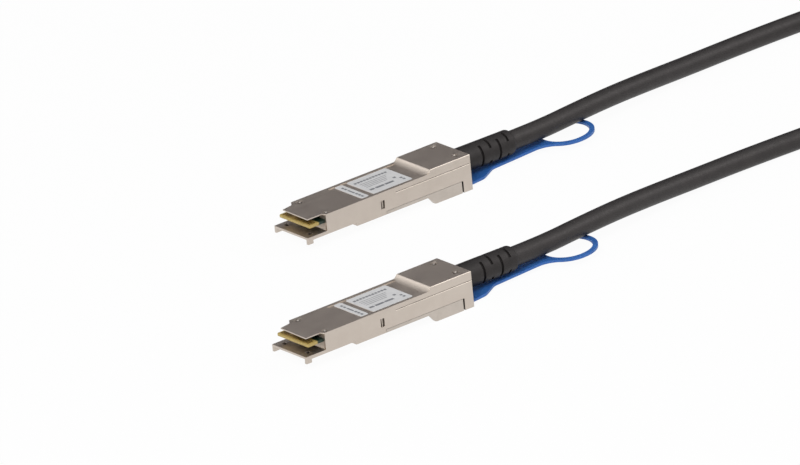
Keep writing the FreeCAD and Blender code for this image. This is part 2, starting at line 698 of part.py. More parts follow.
def paddle_card(plug):
    """Circuit card: a wide contact end with a bevelled edge and a narrower tail."""
    body = new_body(f"paddle_card_{plug}")
    wide = card_width / 2
    tail_half = half_width - thick_wall - card_gap
    shoulder = hall_end - card_gap
    plan = outline_sketch(body, "plan", "XY", [
        (card_front, -wide + card_corner), (card_front + card_corner, -wide), (shoulder, -wide),
        (shoulder, -tail_half), (card_end, -tail_half), (card_end, tail_half),
        (shoulder, tail_half), (shoulder, wide), (card_front + card_corner, wide),
        (card_front, wide - card_corner)], card_under, arcs={0: card_corner, 8: card_corner})
    pad(body, plan, card_thick)
    quarter = card_thick * 0.25
    for name, edge_z, way in (("lower", card_under, 1), ("upper", card_top, -1)):
        bevel = outline_sketch(body, f"{name}_bevel", "XZ", [
            (card_front - 1, edge_z - way * 1), (card_front + card_bevel, edge_z - way * 1),
            (card_front + card_bevel, edge_z), (card_front, edge_z + way * quarter),
            (card_front - 1, edge_z + way * quarter)])
        pocket(body, bevel, body_width, middle=True)
    place(body, plug)


def as_group(label, solids):
    """One node that is a group of separate solids worked out from the sheet's sizes."""
    item = doc.addObject("Part::Feature", label)
    item.Shape = solids[0] if len(solids) == 1 else Part.makeCompound(solids)
    return keep(item, label)


def block(low, high):
    """A box between two corners."""
    low = FreeCAD.Vector(*[as_size(n).value for n in low])
    high = FreeCAD.Vector(*[as_size(n).value for n in high])
    return Part.makeBox(high.x - low.x, high.y - low.y, high.z - low.z, low)


def contact_pads(plug):
    """Gold contacts in two rows, above and below the card's front edge."""
    solids = []
    first = pad_pitch * ((1 - pad_count) / 2)
    start = card_front + card_bevel + pad_set_back
    for number in range(pad_count):
        middle = first + pad_pitch * number
        for low in (card_top, card_under - pad_thick):
            solids.append(block((start, middle - pad_wide / 2, low),
                                (start + pad_long, middle + pad_wide / 2, low + pad_thick)))
    place(as_group(f"contact_pads_{plug}", solids), plug)


def memory_chip(plug):
    """Eight legged memory chip: a bevelled case and four bent legs on each side."""
    stand = chip_tall * 0.1
    legs = [(chip_x + chip_long * share) for share in (-0.36, -0.12, 0.12, 0.36)]
    leg_half = chip_long * 0.05
    reach = chip_wide / 2 + stand * 6
    case = block((chip_x - chip_long / 2, -chip_wide / 2, card_top + stand),
                 (chip_x + chip_long / 2, chip_wide / 2, card_top + chip_tall))
    top = [e for e in case.Edges if abs(e.BoundBox.ZMin - (card_top + chip_tall).value) < 1e-6]
    solid = case.makeChamfer(stand.value, top)
    for leg in legs:
        for way in (1, -1):
            inner, outer = sorted((way * (reach - stand * 4).value, way * reach.value))
            foot = block((leg - leg_half, inner, card_top), (leg + leg_half, outer,
                                                             card_top + stand))
            near, far = sorted((way * (chip_wide / 2 - stand).value,
                                way * (reach - stand * 3).value))
            shank = block((leg - leg_half, near, card_top + stand * 4),
                          (leg + leg_half, far, card_top + stand * 5))
            low, high = sorted((way * (reach - stand * 4).value, way * (reach - stand * 3).value))
            drop = block((leg - leg_half, low, card_top), (leg + leg_half, high,
                                                           card_top + stand * 5))
            solid = solid.fuse([foot, shank, drop])
    place(as_group(f"memory_chip_{plug}", [solid.removeSplitter()]), plug)


def capacitors(plug):
    """Small capacitors in a row behind the contacts."""
    solids = []
    start = card_front + pad_long * 4
    for number in range(6):
        middle = capacitor_pitch * (number - 2.5)
        solids.append(block((start, middle - capacitor_wide / 2, card_top),
                            (start + capacitor_long, middle + capacitor_wide / 2,
                             card_top + capacitor_wide)))
    place(as_group(f"capacitors_{plug}", solids), plug)


def pair_section(along, across, up):
    """Flat six sided section of a twin wire, square to X."""
    wide, tall = pair_wide.value / 2, pair_tall.value / 2
    ring = [(-wide, 0), (-wide * 0.6, tall), (wide * 0.6, tall), (wide, 0),
            (wide * 0.6, -tall), (-wide * 0.6, -tall)]
    points = [FreeCAD.Vector(along, across + y, up + z) for y, z in ring]
    return Part.makePolygon(points + points[:1])


def pair_places():
    """Each twin wire's place at the card and in the ferrule, as (y, z) pairs."""
    at_card_up = (card_top + pair_lift + pair_tall / 2).value
    at_card_down = (card_under - pair_lift - pair_tall / 2).value
    rise = pair_tall.value * 1.04
    for level, height in ((1, at_card_up), (-1, at_card_down)):
        for number in range(4):
            at_card = (pair_pitch.value * (number - 1.5), height)
            row = 1.5 if number in (1, 2) else 0.5
            column = pair_bundle.value * (0.5 if number > 1 else -0.5)
            yield at_card, (column, cable_axis.value + level * row * rise)


def wire_pairs(plug):
    """Eight screened twin wires from the card to the cable, as one group."""
    solids = []
    start = (card_end - pair_overlap).value
    straight = (comb_start + comb_long + comb_gap).value
    gather = (rear_wall_start - flange_long - ferrule_long).value
    end = (rear_wall_start - flange_long).value
    for at_card, in_ferrule in pair_places():
        stations = [(start, at_card), (straight, at_card), (gather, in_ferrule),
                    (end, in_ferrule)]
        sections = [pair_section(along, *yz) for along, yz in stations]
        spans = [Part.makeLoft(sections[n:n + 2], True, True) for n in range(3)]
        solids.append(spans[0].fuse(spans[1:]).removeSplitter())
    place(as_group(f"wire_pairs_{plug}", solids), plug)


def wire_comb(plug):
    """Plastic comb that stands on the shell's floor and keeps the twin wires apart."""
    lower = half_width - thick_wall - ledge_width - comb_gap
    solid = block((comb_start, -lower, floor_top),
                  (comb_start + comb_long, lower, cover_under - comb_gap))
    for (across, up), _ in pair_places():
        room_y = pair_wide.value / 2 + comb_gap.value
        room_z = pair_tall.value / 2 + comb_gap.value
        solid = solid.cut(block((comb_start - 1, across - room_y, up - room_z),
                                (comb_start + comb_long + 1, across + room_y, up + room_z)))
    place(as_group(f"wire_comb_{plug}", [solid]), plug)


def revolve(body, name, corners, arcs=None):
    """Turn an outline about the body's own X axis."""
    sketch = outline_sketch(body, name, "XY", corners, arcs=arcs)
    doc.recompute()
    turned = body.newObject("PartDesign::Revolution", f"{body.Name}_{name}_turned")
    turned.Profile = sketch
    turned.ReferenceAxis = (sketch, ["H_Axis"])
    turned.Angle = 360
    doc.recompute()
    return turned


def crimp_ferrule(plug):
    """Turned ring that grips the cable's screen in front of the boot's flange."""
    body = new_body(f"crimp_ferrule_{plug}")
    end = rear_wall_start - flange_long
    start = end - ferrule_long
    lip = ferrule_radius - ferrule_bore
    revolve(body, "wall", [
        (start, ferrule_bore), (end, ferrule_bore), (end, ferrule_radius),
        (end - lip, ferrule_radius), (end - lip * 2, ferrule_radius - lip / 2),
        (start + lip, ferrule_radius - lip / 2), (start, ferrule_radius)])
    place(body, plug, cable_axis)


def strain_relief_boot(plug):
    """Moulded boot: flange and neck in the rear wall, then a sleeve with flex slots."""
    body = new_body(f"strain_relief_boot_{plug}")
    flange_start = rear_wall_start - flange_long
    revolve(body, "sleeve", [
        (flange_start, 0), (boot_end, 0), (boot_end, boot_end_radius - boot_round),
        (boot_end - boot_round, boot_end_radius), (body_length, boot_radius),
        (body_length, neck_radius), (rear_wall_start - neck_gap, neck_radius),
        (rear_wall_start - neck_gap, flange_radius), (flange_start, flange_radius)],
        arcs={2: boot_round})
    # Slots at the two sides and slots above and below take turns along the sleeve.
    turn = math.radians(slot_turn.value)
    core = slot_core * math.cos(turn), slot_core * math.sin(turn)
    edge = boot_radius * math.cos(turn) * 2, boot_radius * math.sin(turn) * 2
    for number in range(4):
        start = body_length + slot_first + slot_pitch * number - slot_wide / 2
        slots = new_sketch(body, f"slots_{number}", "YZ", start)
        at_sides = number % 2 == 0
        for way in (1, -1):
            outline = [(core[0], -core[1]), core, edge, (boot_radius * 2, edge[1]),
                       (boot_radius * 2, -edge[1]), (edge[0], -edge[1])]
            outline = [(x * way, y) if at_sides else (y, x * way) for x, y in outline]
            bulge = way if at_sides else -way
            add_outline(slots, outline, arcs={0: slot_core * bulge})
        pocket(body, slots, slot_wide, back=True)
    place(body, plug, cable_axis)


def latch_slider(plug):
    """Sliding latch: two arms along the shell's sides, joined by the deep block behind."""
    body = new_body(f"latch_slider_{plug}")
    side = outline_sketch(body, "side", "XZ", [
        (deep_start, 0), (slope_end - deep_round / 2, deep_under + deep_round / 2),
        (slope_end + deep_round, deep_under), (slider_end, deep_under),
        (slider_end, arm_top), (deep_start, arm_top)], arcs={1: deep_round * 2.2})
    pad(body, side, body_width, middle=True)
    # The block is hollow: it wraps the shell's belly and leaves room for strap and springs.
    between_cheeks = body_width - deep_wall * 2
    hollow = outline_sketch(body, "hollow", "XZ", [
        (wall_front + deep_wall, flange_thick), (wall_front + deep_wall, 0),
        (wall_foot + deep_wall, deep_inside), (slider_end + 1, deep_inside),
        (slider_end + 1, arm_top + 1), (deep_start - 1, arm_top + 1),
        (deep_start - 1, flange_thick)])
    pocket(body, hollow, between_cheeks, middle=True)
    mouth = outline_sketch(body, "mouth", "XZ", [
        (deep_start - 1, 0), (wall_front, 0), (wall_foot, deep_under),
        (wall_foot, deep_under - 1), (deep_start - 1, deep_under - 1)])
    pocket(body, mouth, between_cheeks, middle=True)
    belly = outline_sketch(body, "belly", "XY", box_corners(
        deep_start - 1, wall_foot + deep_wall, arm_flange - half_width,
        half_width - arm_flange), -slide_gap)
    cut_up(body, belly, body_height)
    keel_half_room = keel_half + slide_gap
    keel_room = outline_sketch(body, "keel_room", "XY", box_corners(
        deep_start - 1, slider_end + 1, -keel_half_room, keel_half_room),
        -keel_drop - slide_gap)
    cut_up(body, keel_room, body_height)
    upper = new_sketch(body, "upper_walls", "YZ", deep_start - 1)
    both_sides(upper, half_width - deep_wall - 1, half_width - arm_thick,
               flange_thick, arm_top + 1)
    pocket(body, upper, body_length, back=True)

    arms = new_sketch(body, "arms", "YZ", slider_start)
    for way in (1, -1):
        add_outline(arms, [
            (way * (half_width - arm_flange), 0), (way * half_width, 0),
            (way * half_width, arm_top), (way * (half_width - arm_thick), arm_top),
            (way * (half_width - arm_thick), flange_thick),
            (way * (half_width - arm_flange), flange_thick)])
    pad(body, arms, deep_start + deep_wall - slider_start)

    # Uprights stand behind the shell's skin and carry the teeth that show in the windows.
    outer = half_width - skin - slide_gap
    tooth_start = window_front + tooth_gap
    uprights = new_sketch(body, "uprights", "XY", 0)
    both_sides(uprights, outer - upright_thick, outer, tooth_start,
               tooth_start + tooth_long + upright_long, turned=True)
    pad(body, uprights, window_under + window_tall - slide_gap)
    teeth = new_sketch(body, "teeth", "XY", window_under + slide_gap)
    for way in (1, -1):
        add_outline(teeth, [
            (tooth_start, way * (outer - upright_thick)), (tooth_start, way * outer),
            (tooth_start + tooth_long * 0.6, way * (half_width - slide_gap)),
            (tooth_start + tooth_long, way * (half_width - slide_gap)),
            (tooth_start + tooth_long, way * (outer - upright_thick))])
    pad(body, teeth, window_tall - slide_gap * 2)
    stakes = circle_sketch(body, "stakes", "XY", [(stake_x, stake_side), (stake_x, -stake_side)],
                           stake_radius, deep_inside - deep_floor / 2)
    pad(body, stakes, deep_floor / 2 + strap_thick)
    place(body, plug)


def return_springs(plug):
    """Two folded strip springs between the deep block's front and the shell's posts."""
    start = (wall_foot + deep_wall).value
    end = (slider_end - post_long).value
    legs = int(spring_folds.value)
    step = (end - start) / legs
    reach = (spring_wide - spring_strip).value / 2
    slope = math.atan2(reach * 2, step)
    half_strip = spring_strip.value / 2 / math.cos(slope)
    height = (deep_inside + slide_gap).value
    solids = []
    for way in (1, -1):
        middle = spring_side.value * way
        zigzag = [(start + step * n, middle + (reach if n % 2 == 0 else -reach))
                  for n in range(legs + 1)]
        outer = [FreeCAD.Vector(x, y + half_strip, height) for x, y in zigzag]
        inner = [FreeCAD.Vector(x, y - half_strip, height) for x, y in reversed(zigzag)]
        face = Part.Face(Part.makePolygon(outer + inner + outer[:1]))
        solids.append(face.extrude(FreeCAD.Vector(0, 0, spring_tall.value)))
    place(as_group(f"return_springs_{plug}", solids), plug)


def rounded_path(corners):
    """Edges through (x, y, radius) corners, each inner corner rounded by its radius."""
    points = [FreeCAD.Vector(x, y, 0) for x, y, _ in corners]
    edges = []
    here = points[0]
    for number in range(1, len(points) - 1):
        corner, radius = points[number], corners[number][2]
        back = (points[number - 1] - corner).normalize()
        forth = (points[number + 1] - corner).normalize()
        half = back.getAngle(forth) / 2
        start = corner + back * (radius / math.tan(half))
        end = corner + forth * (radius / math.tan(half))
        edges.append(Part.LineSegment(here, start).toShape())
        if radius:
            inward = (back + forth).normalize()
            middle = corner + inward * (radius / math.sin(half) - radius)
            edges.append(Part.Arc(start, middle, end).toShape())
        here = end
    edges.append(Part.LineSegment(here, points[-1]).toShape())
    return edges


def round_way(centre, radius, start, end):
    """An arc about a centre between two angles in degrees."""
    turns = [math.radians(a) for a in (start, (start + end) / 2, end)]
    spots = [centre + FreeCAD.Vector(math.cos(a), math.sin(a), 0) * radius for a in turns]
    return Part.Arc(*spots).toShape()


def closed_face(half):
    """A face from the edges of its upper half and their mirror image."""
    other = [edge.mirror(FreeCAD.Vector(0, 0, 0), FreeCAD.Vector(0, 1, 0)) for edge in half]
    return Part.Face(Part.Wire(Part.sortEdges(half + other)[0]))


def ring_half(radius, first_angle):
    """Upper half of the finger ring's slot shape, from an angle on its inner end."""
    shift = ring_straight.value / 2
    near = FreeCAD.Vector(ring_centre.value - shift, 0, 0)
    far = FreeCAD.Vector(ring_centre.value + shift, 0, 0)
    top = FreeCAD.Vector(0, radius, 0)
    return [round_way(near, radius, first_angle, 90),
            Part.LineSegment(near + top, far + top).toShape(),
            round_way(far, radius, 90, 0)]


def tab_plan():
    """The pull tab seen from above: strap, S shaped shoulders and the finger ring."""
    widen = foot_start.value + (body_length - foot_start).value * 0.25
    outer = ring_outer.value
    near = ring_centre.value - ring_straight.value / 2
    hub_y = (tab_neck_half + ring_fillet).value
    hub_x = near - math.sqrt((outer + ring_fillet.value) ** 2 - hub_y ** 2)
    hub = FreeCAD.Vector(hub_x, hub_y, 0)
    lean = math.degrees(math.atan2(hub_y, hub_x - near))
    strap = rounded_path([
        (strap_inner_start.value, 0, 0),
        (strap_inner_start.value, strap_inner_half.value, 0.8),
        (widen, strap_inner_half.value, 0),
        (widen, tab_base_half.value, 0.5),
        (body_length.value, tab_base_half.value, 0),
        (tab_base_end.value, tab_base_end_half.value, tab_round.value),
        (tab_neck_start.value, tab_neck_half.value, tab_round.value),
        (hub_x, tab_neck_half.value, 0)])
    turn = [round_way(hub, ring_fillet.value, -90, lean - 180)]
    plan = closed_face(strap + turn + ring_half(outer, lean))
    holes = [closed_face(ring_half(ring_inner.value, 180))]
    for way in (1, -1):
        stake = FreeCAD.Vector(stake_x.value, way * stake_side.value, 0)
        hole = Part.makeCircle((stake_radius + stake_clearance).value, stake)
        holes.append(Part.Face(Part.Wire(hole)))
    return plan.cut(holes)


def pull_tab(plug):
    """Moulded pull tab: flat on the slider's floor inside, then climbing to its ring."""
    low = deep_inside.value
    thick = strap_thick.value
    out = body_length.value
    run = tab_end.value - out
    lean = math.atan2(tab_rise.value, run - tab_bend.value / 2)
    radius = tab_bend.value / math.sin(lean)

    def on_bend(share, above):
        reach = radius - above
        return FreeCAD.Vector(out + reach * math.sin(lean * share), 0,
                              low + radius - reach * math.cos(lean * share))

    def line(start, end):
        return Part.LineSegment(start, end).toShape()

    climb = FreeCAD.Vector(math.cos(lean), 0, math.sin(lean)) * run
    inside = FreeCAD.Vector(strap_inner_start.value - 1, 0, low)
    up = FreeCAD.Vector(0, 0, thick)
    side = Part.Wire([
        line(inside, on_bend(0, 0)),
        Part.Arc(on_bend(0, 0), on_bend(0.5, 0), on_bend(1, 0)).toShape(),
        line(on_bend(1, 0), on_bend(1, 0) + climb),
        line(on_bend(1, 0) + climb, on_bend(1, thick) + climb),
        line(on_bend(1, thick) + climb, on_bend(1, thick)),
        Part.Arc(on_bend(1, thick), on_bend(0.5, thick), on_bend(0, thick)).toShape(),
        line(on_bend(0, thick), inside + up),
        line(inside + up, inside)])
    across = FreeCAD.Vector(0, body_width.value * 2, 0)
    band = Part.Face(side).extrude(across)
    band.translate(FreeCAD.Vector(0, -body_width.value, 0))
    plan = tab_plan()
    plan.translate(FreeCAD.Vector(0, 0, low - 1))
    column = plan.extrude(FreeCAD.Vector(0, 0, thick + tab_rise.value + 2))
    tab = band.common(column).removeSplitter()
    place(as_group(f"pull_tab_{plug}", tab.Solids), plug)


def cable_route():
    """Points of the cable from boot to boot: out of each plug, down to the floor, and a
    half turn outside the two plugs. The first half is given from plug a, the rest from b."""
    level = (cable_radius - deep_drop).value
    out = cable_axis.value
    from_a = [(boot_end.value, 0.0, out), (111.0, 0.0, out), (128.0, 1.9, out + 0.2),
              (146.0, 4.1, out), (164.0, 6.9, out - 1.2), (185.0, 10.4, 0.9 + level),
              (208.0, 12.6, level), (232.0, 12.4, level)]
    from_b = [(boot_end.value, 0.0, out), (111.0, 0.0, out), (128.0, 1.9, out + 0.2),
              (146.0, 4.1, out), (164.0, 6.9, out - 1.2), (185.0, 10.2, 0.9 + level),
              (212.0, 11.8, level), (246.0, 10.2, level), (282.0, 7.0, level)]
    placed = []
    for plug, route in (("a", from_a), ("b", from_b)):
        along, across, up = [n.value for n in plug_offset(plug)]
        placed.append([FreeCAD.Vector(x + along, y + across, z + up) for x, y, z in route])
    half_turn = [FreeCAD.Vector(x, y, cable_radius.value) for x, y in (
        (223.0, 52.2), (245.0, 36.6), (255.0, 10.5), (246.5, -16.5), (223.5, -32.8))]
    return placed[0] + half_turn + placed[1][::-1]


def cable():
    """The round cable as one tube: straight runs joined by arcs."""
    points = cable_route()
    edges, radii = [], []
    here = points[0]
    for number in range(1, len(points) - 1):
        before, corner, after = points[number - 1:number + 2]
        back, forth = (before - corner), (after - corner)
        shorter = min(back.Length, forth.Length)
        back.normalize()
        forth.normalize()
        half_turn = (math.pi - back.getAngle(forth)) / 2
        radius = 0.45 * shorter / math.tan(half_turn)
        reach = 0.45 * shorter
        start, end = corner + back * reach, corner + forth * reach
        inward = (back + forth).normalize()
        middle = corner + inward * (radius / math.cos(half_turn) - radius)
        edges.append(Part.LineSegment(here, start).toShape())
        edges.append(Part.Arc(start, middle, end).toShape())
        radii.append(round(radius, 1))
        here = end
    edges.append(Part.LineSegment(here, points[-1]).toShape())
    path = Part.Wire(edges)
    section = Part.Wire(Part.makeCircle(cable_radius.value, points[0], points[1] - points[0]))
    tube = path.makePipeShell([section], True, False)
    item = doc.addObject("Part::Feature", "cable")
    item.Shape = tube
    keep(item, "cable")
    runs = [round((b - a).Length, 1) for a, b in zip(points, points[1:])]
    print("cable runs", runs)
    print("cable radii", radii)
    print("cable length", round(path.Length, 1), "volume share",
          round(tube.Volume / (math.pi * cable_radius.value ** 2 * path.Length), 4))


for which in ("a", "b"):
    bottom_shell(which)
    top_cover(which)
    cover_rivets(which)
    label(which, "small_label", small_label_start, small_label_long)
    label(which, "large_label", large_label_start, large_label_long)
    paddle_card(which)
    contact_pads(which)
    memory_chip(which)
    capacitors(which)
    wire_pairs(which)
    wire_comb(which)
    crimp_ferrule(which)
    strain_relief_boot(which)
    latch_slider(which)
    return_springs(which)
    pull_tab(which)
cable()

doc.recompute()
for item in doc.Objects:
    if "Invalid" in item.State or "Error" in item.State:
        raise RuntimeError(f"{item.Name} failed: {item.State}")
os.makedirs("parts", exist_ok=True)
for item in made:
    if item.Shape.isNull() or not item.Shape.isValid():
        raise RuntimeError(f"{item.Label} has no valid shape")
    item.Shape.exportStep(f"parts/{item.Label}.step")
    box = item.Shape.BoundBox
    print(f"{item.Label}: {len(item.Shape.Solids)} solid(s), {item.Shape.Volume:.1f} mm3, "
          f"z {box.ZMin:.2f} to {box.ZMax:.2f}")
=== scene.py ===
# %% [markdown]
# # A short direct attach copper cable
#
# The object is one network cable with a flat metal plug at each end. Each plug is a die cast
# shell with a riveted cover, a sliding latch with a blue pull tab, a circuit card that looks out
# at the nose, and a rubber boot from which the round black cable leaves.
#
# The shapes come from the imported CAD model, which is loaded first and never moved. This script
# gives every surface its finish, adds the small things that a CAD model leaves out, and sets up
# the camera, floor and light of the photograph.

import bpy
import math
from mathutils import Matrix, Vector


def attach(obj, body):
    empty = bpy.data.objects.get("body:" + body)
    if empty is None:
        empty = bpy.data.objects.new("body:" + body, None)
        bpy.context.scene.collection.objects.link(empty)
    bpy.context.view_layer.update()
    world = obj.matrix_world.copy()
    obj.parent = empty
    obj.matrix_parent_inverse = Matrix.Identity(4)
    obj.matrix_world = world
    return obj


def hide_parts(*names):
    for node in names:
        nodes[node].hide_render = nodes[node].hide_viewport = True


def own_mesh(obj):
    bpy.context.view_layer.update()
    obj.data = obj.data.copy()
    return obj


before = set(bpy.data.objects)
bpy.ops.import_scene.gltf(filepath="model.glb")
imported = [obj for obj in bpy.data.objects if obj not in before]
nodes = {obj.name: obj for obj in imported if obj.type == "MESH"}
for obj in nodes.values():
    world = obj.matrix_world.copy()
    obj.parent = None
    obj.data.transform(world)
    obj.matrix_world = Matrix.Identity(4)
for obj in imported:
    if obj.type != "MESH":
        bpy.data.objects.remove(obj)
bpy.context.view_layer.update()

# %% [markdown]
# ## Where each plug lies
#
# The two plugs are alike, so everything is described once in a plug's own frame, in millimetres:
# X runs from the nose to the cable, Y across, and Z up from the main underside. A small helper
# turns such a point into metres in the frame of the whole part.

# %% The plugs' places
PLUG_ORIGIN = {"a": (-33.05, 40.95, 3.1), "b": (-99.55, -40.95, 3.1)}


def at_plug(plug, along, across, up):
    """A point of a plug's own frame, in metres in the part's frame."""
    origin = PLUG_ORIGIN[plug]
    return Vector((along + origin[0], across + origin[1], up + origin[2])) / 1000


for plug in PLUG_ORIGIN:
    print("nose of plug", plug, "at", tuple(round(n, 4) for n in at_plug(plug, 0, 0, 0)))

# %% [markdown]
# ## The camera
#
# The photograph was taken from far away with a long lens, from the front left and about 22
# degrees above the table: parallel edges stay nearly parallel in it. A camera could be placed by
# eye, but here its position and turn come from measured corners of the plug, so that the
# render's outlines can be laid over the photograph's.

# %% Camera at the photograph's viewing angle
SENSOR_WIDE = 36.0
LENS_LONG = 720.0
NEAREST_SEEN = 0.5
FARTHEST_SEEN = 50.0
lens_turns = {"heading": 36.93, "tilt": -67.915, "roll": 5.71}
looked_at = Vector((2.95, 40.775, 7.1)) / 1000
slide_over = Vector((9.388, -12.466, 5479.14)) / 1000

heading = Matrix.Rotation(math.radians(lens_turns["heading"]), 3, "Z")
tilt = Matrix.Rotation(math.radians(lens_turns["tilt"]), 3, "X")
roll = Matrix.Rotation(math.radians(lens_turns["roll"]), 3, "Z")
to_camera = roll @ tilt @ heading

camera_data = bpy.data.cameras.new("photo_camera")
camera_data.sensor_width = SENSOR_WIDE
camera_data.lens = LENS_LONG
camera_data.clip_start = NEAREST_SEEN
camera_data.clip_end = FARTHEST_SEEN
camera = bpy.data.objects.new("photo_camera", camera_data)
bpy.context.scene.collection.objects.link(camera)
turned = to_camera.transposed()
camera.matrix_world = Matrix.Translation(looked_at + turned @ slide_over) @ turned.to_4x4()
bpy.context.scene.camera = camera
print("camera stands", round((camera.matrix_world.translation - looked_at).length, 3), "m away")

# %% [markdown]
# ## The floor and the pale surroundings
#
# The photograph shows the cable on plain white. A floor that were only a bright lamp would
# swallow the object's shadow, and a plain grey one would not be white. So the floor is a white
# matt surface mixed with a share of even white that only camera, glossy and transmission rays
# see: it stays white to the eye and in reflections, and keeps a soft shadow.

# %% A way to start a finish
def start_finish(name):
    """A new material with its node tree and its main shader."""
    material = bpy.data.materials.new(name)
    material.use_nodes = True
    return material, material.node_tree, material.node_tree.nodes["Principled BSDF"]


def seen_directly(tree):
    """1 for rays from the camera or by way of gloss or glass, 0 for the light itself."""
    path = tree.nodes.new("ShaderNodeLightPath")
    first = tree.nodes.new("ShaderNodeMath")
    first.operation = "MAXIMUM"
    second = tree.nodes.new("ShaderNodeMath")
    second.operation = "MAXIMUM"
    tree.links.new(path.outputs["Is Camera Ray"], first.inputs[0])
    tree.links.new(path.outputs["Is Glossy Ray"], first.inputs[1])
    tree.links.new(first.outputs[0], second.inputs[0])
    tree.links.new(path.outputs["Is Transmission Ray"], second.inputs[1])
    return second.outputs[0]


# %% The floor
FLOOR_WHITE_SHARE = 0.95
FLOOR_HALF_WIDE = 8

floor_finish, tree, shader = start_finish("pale_floor")
shader.inputs["Base Color"].default_value = (0.9, 0.9, 0.9, 1.0)
shader.inputs["Roughness"].default_value = 0.9
shader.inputs["Specular IOR Level"].default_value = 0.1
even_white = tree.nodes.new("ShaderNodeEmission")
even_white.inputs["Strength"].default_value = 1.0
share = tree.nodes.new("ShaderNodeMath")
share.operation = "MULTIPLY"
share.inputs[1].default_value = FLOOR_WHITE_SHARE
tree.links.new(seen_directly(tree), share.inputs[0])
mixed = tree.nodes.new("ShaderNodeMixShader")
tree.links.new(share.outputs[0], mixed.inputs["Fac"])
tree.links.new(shader.outputs[0], mixed.inputs[1])
tree.links.new(even_white.outputs[0], mixed.inputs[2])
tree.links.new(mixed.outputs[0], tree.nodes["Material Output"].inputs["Surface"])

floor_mesh = bpy.data.meshes.new("floor")
floor_corners = [(x * FLOOR_HALF_WIDE, y * FLOOR_HALF_WIDE, 0)
                 for x, y in ((-1, -1), (1, -1), (1, 1), (-1, 1))]
floor_mesh.from_pydata(floor_corners, [], [(0, 1, 2, 3)])
floor = bpy.data.objects.new("floor", floor_mesh)
floor_mesh.materials.append(floor_finish)
bpy.context.scene.collection.objects.link(floor)
print("floor lies at z =", floor.location.z)

# %% The surroundings
SURROUND_LIGHT = 0.42

world = bpy.data.worlds.new("pale_surroundings")
world.use_nodes = True
bpy.context.scene.world = world
surround = world.node_tree.nodes["Background"]
lift = world.node_tree.nodes.new("ShaderNodeMapRange")
lift.inputs["To Min"].default_value = SURROUND_LIGHT
lift.inputs["To Max"].default_value = 1.0
world.node_tree.links.new(seen_directly(world.node_tree), lift.inputs["Value"])
world.node_tree.links.new(lift.outputs[0], surround.inputs["Strength"])
surround.inputs["Color"].default_value = (1.0, 1.0, 1.0, 1.0)
print("surroundings light the cable at", SURROUND_LIGHT)

# %% [markdown]
# ## The lamps
#
# Large soft lamps light the cable as a product studio does: a main one high on the camera's
# left, a weaker one on the right, and a faint one behind on the left that only the faces that
# lean forward mirror. Large lamps give soft shadow edges and broad, quiet highlights on the
# plated metal. A dark screen behind the cable, which only glossy rays see, does what a
# photographer's black card does: the flat tops mirror it and turn darker than the sides, as
# they are in the photograph.

# %% Soft lamps
def soft_lamp(name, place, size, power):
    """A square area lamp that looks at the middle of the cable's plugs."""
    lamp = bpy.data.lights.new(name, "AREA")
    lamp.shape = "SQUARE"
    lamp.size = size
    lamp.energy = power
    holder = bpy.data.objects.new(name, lamp)
    holder.location = place
    holder.rotation_euler = (-Vector(place)).to_track_quat("-Z", "Y").to_euler()
    bpy.context.scene.collection.objects.link(holder)
    return holder


lamps = [soft_lamp("main_lamp", place=(-1.3, -1.0, 1.6), size=1.1, power=28.0),
         soft_lamp("side_lamp", place=(1.5, -0.9, 1.3), size=1.0, power=9.0),
         soft_lamp("edge_lamp", place=(-1.15, 1.63, 0.98), size=1.0, power=2.5)]
for lamp in lamps:
    print(lamp.name, "gives", lamp.data.energy, "watts")

# %% The dark screen behind
SCREEN_HALF_WIDE = 1.6
SCREEN_FOOT = 0.02
SCREEN_TOP = 1.5
SCREEN_AWAY = 1.5

screen_finish, tree, shader = start_finish("dark_screen")
shader.inputs["Base Color"].default_value = (0.086, 0.079, 0.093, 1.0)
shader.inputs["Roughness"].default_value = 1.0
shader.inputs["Specular IOR Level"].default_value = 0.0

screen_mesh = bpy.data.meshes.new("dark_screen")
screen_corners = [(-SCREEN_HALF_WIDE, 0, SCREEN_FOOT), (SCREEN_HALF_WIDE, 0, SCREEN_FOOT),
                  (SCREEN_HALF_WIDE, 0, SCREEN_TOP), (-SCREEN_HALF_WIDE, 0, SCREEN_TOP)]
screen_mesh.from_pydata(screen_corners, [], [(0, 1, 2, 3)])
screen_mesh.materials.append(screen_finish)
screen = bpy.data.objects.new("dark_screen", screen_mesh)
view_way = turned @ Vector((0, 0, -1))
behind = Vector((view_way.x, view_way.y, 0)).normalized()
screen.location = behind * SCREEN_AWAY
screen.rotation_euler = (0, 0, math.atan2(behind.y, behind.x) - math.pi / 2)
screen.visible_camera = False
screen.visible_diffuse = False
screen.visible_shadow = False
screen.visible_transmission = False
bpy.context.scene.collection.objects.link(screen)
print("dark screen stands", round(screen.location.length, 2), "m behind the cable")

# %% [markdown]
# ## The cable
#
# The real cable is eight screened wire pairs in a smooth black jacket, 7 mm thick. It leaves each
# boot straight, sags to the table within a hand's width and runs on in an easy curve. A mesh tube
# would have to be bent point by point. A NURBS curve with a round bevel keeps one thickness and
# turns smoothly, and its control points are the same route that the CAD tube follows. The
# thickness is given at the points, with a bevel of one, because Blender pads a curve's box with
# its points' radius. The box then holds the control points, which the smooth curve cuts short in
# the half turn, and the cable's own radius round them.

